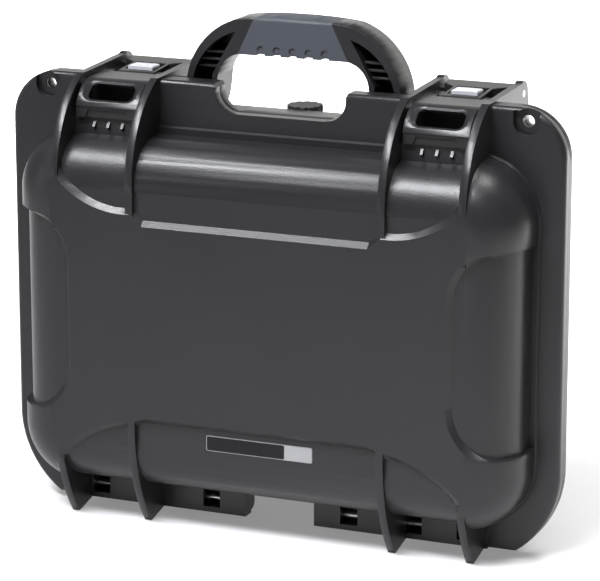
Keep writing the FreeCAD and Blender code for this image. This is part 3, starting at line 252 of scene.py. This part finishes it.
# Blank badge on the lower recess
def plate(name, span, rise, at, thick, corner, material):
    """A thin plate with round corners that faces the front, given in millimetres."""
    left, right = span
    low, high = rise
    corner_steps = 4
    shape = bmesh.new()
    ring = []
    for middle_x, middle_z, start in (
        (right - corner, low + corner, -90),
        (right - corner, high - corner, 0),
        (left + corner, high - corner, 90),
        (left + corner, low + corner, 180),
    ):
        for step in range(corner_steps + 1):
            turn = math.radians(start + 90 / corner_steps * step)
            ring.append((middle_x + corner * math.cos(turn), middle_z + corner * math.sin(turn)))
    back = [shape.verts.new((x * MM, at * MM, z * MM)) for x, z in ring]
    front = [shape.verts.new((x * MM, (at - thick) * MM, z * MM)) for x, z in ring]
    shape.faces.new(front)
    shape.faces.new(list(reversed(back)))
    count = len(ring)
    for index in range(count):
        after = (index + 1) % count
        shape.faces.new((back[index], back[after], front[after], front[index]))
    bmesh.ops.recalc_face_normals(shape, faces=shape.faces)
    mesh = bpy.data.meshes.new(name)
    shape.to_mesh(mesh)
    shape.free()
    mesh.materials.append(material)
    piece = bpy.data.objects.new(name, mesh)
    bpy.context.scene.collection.objects.link(piece)
    rounded = piece.modifiers.new("rounded_edges", "BEVEL")
    rounded.width = thick / 3 * MM
    rounded.segments = EDGE_STEPS
    rounded.limit_method = "ANGLE"
    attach(piece, "lid")


def make_badge():
    """A rim with a dark field and a silver end, all bare."""
    recess = -81.5
    left, right = -38.0, 44.0
    low, high = 67.0, 78.5
    border = 0.6
    rim_thick, inlay_thick = 0.5, 0.2
    field_end = 22.5
    inner_rise = (low + border, high - border)
    inlay_at = recess - rim_thick
    rim_corner, inlay_corner = 1.5, 1.1
    field_span = (left + border, field_end)
    end_span = (field_end + border, right - border)
    plate("badge_rim", (left, right), (low, high), recess, rim_thick, rim_corner, badge_silver)
    plate("badge_field", field_span, inner_rise, inlay_at, inlay_thick, inlay_corner, badge_black)
    plate("badge_end", end_span, inner_rise, inlay_at, inlay_thick, inlay_corner, badge_silver)


make_badge()


# Stage: floor, light and camera
def make_floor():
    """Pale floor that runs well past the view and glows a little, as a lit table does."""
    material = bpy.data.materials.new("pale_floor")
    material.use_nodes = True
    shader = material.node_tree.nodes["Principled BSDF"]
    shader.inputs["Base Color"].default_value = (0.55, 0.55, 0.55, 1.0)
    shader.inputs["Roughness"].default_value = 0.85
    shader.inputs["Emission Color"].default_value = WHITE + (1.0,)
    shader.inputs["Emission Strength"].default_value = 0.22
    mesh = bpy.data.meshes.new("floor")
    shape = bmesh.new()
    bmesh.ops.create_grid(shape, x_segments=1, y_segments=1, size=6.0)
    shape.to_mesh(mesh)
    shape.free()
    mesh.materials.append(material)
    floor = bpy.data.objects.new("floor", mesh)
    bpy.context.scene.collection.objects.link(floor)


def area_light(name, at, toward, size, power, spread, tint=WHITE):
    """A soft box that faces a point, with a grid that narrows its spread."""
    light = bpy.data.lights.new(name, "AREA")
    light.shape = "RECTANGLE"
    light.size, light.size_y = size
    light.energy = power
    light.color = tint
    light.spread = math.radians(spread)
    lamp = bpy.data.objects.new(name, light)
    lamp.location = at
    lamp.rotation_mode = "QUATERNION"
    lamp.rotation_quaternion = (Vector(toward) - Vector(at)).to_track_quat("-Z", "Y")
    bpy.context.scene.collection.objects.link(lamp)


def wash_light(name, at, size, power, spread):
    """A soft box that faces straight down and lights the floor below it."""
    area_light(name, at, at[:2] + (0.0,), size, power, spread)


def make_light():
    """A long soft key overhead in front, a card to the left, washes on the floor and a bright backdrop."""
    world = bpy.data.worlds.new("pale_room")
    bpy.context.scene.world = world
    world.use_nodes = True
    room = world.node_tree.nodes["Background"]
    room.inputs["Color"].default_value = WHITE + (1.0,)
    room.inputs["Strength"].default_value = 0.2
    case = (0.0, -0.06, 0.2)
    area_light(
        "key_box",
        at=(-0.5, -1.16, 2.1),
        toward=case,
        size=(1.9, 0.42),
        power=18.0,
        spread=60.0,
        tint=(0.95, 0.96, 1.0),
    )
    area_light("left_card", at=(-1.7, -1.1, 0.45), toward=case, size=(0.9, 0.9), power=1.0, spread=120.0)
    wash_light("front_wash", at=(-0.35, -0.75, 1.9), size=(1.6, 0.7), power=4.0, spread=30.0)
    wash_light("side_wash", at=(0.95, 0.5, 1.8), size=(1.0, 1.8), power=20.0, spread=50.0)
    wash_light("floor_wash", at=(0.3, 1.8, 1.7), size=(3.6, 2.2), power=110.0, spread=60.0)
    area_light(
        "backdrop",
        at=(0.2, 3.4, 0.9),
        toward=(0.2, 0.0, 0.3),
        size=(5.0, 1.6),
        power=30.0,
        spread=180.0,
        tint=(1.0, 0.995, 0.96),
    )


def make_camera():
    """Camera at the photograph's angle, with its long lens."""
    aim = Vector((11.748 * MM, PARTING, 177.153 * MM))
    turn, tilt = math.radians(22.5), math.radians(14.6)
    distance = 2.2448
    back = Vector((math.sin(turn) * math.cos(tilt), -math.cos(turn) * math.cos(tilt), math.sin(tilt)))
    lens = bpy.data.cameras.new("camera")
    lens.sensor_width = 36.0
    lens.lens = 187.62
    camera = bpy.data.objects.new("camera", lens)
    camera.location = aim + back * distance
    camera.rotation_mode = "QUATERNION"
    camera.rotation_quaternion = (-back).to_track_quat("-Z", "Y")
    bpy.context.scene.collection.objects.link(camera)
    bpy.context.scene.camera = camera


make_floor()
make_light()
make_camera()
bpy.context.scene.view_settings.view_transform = "Standard"
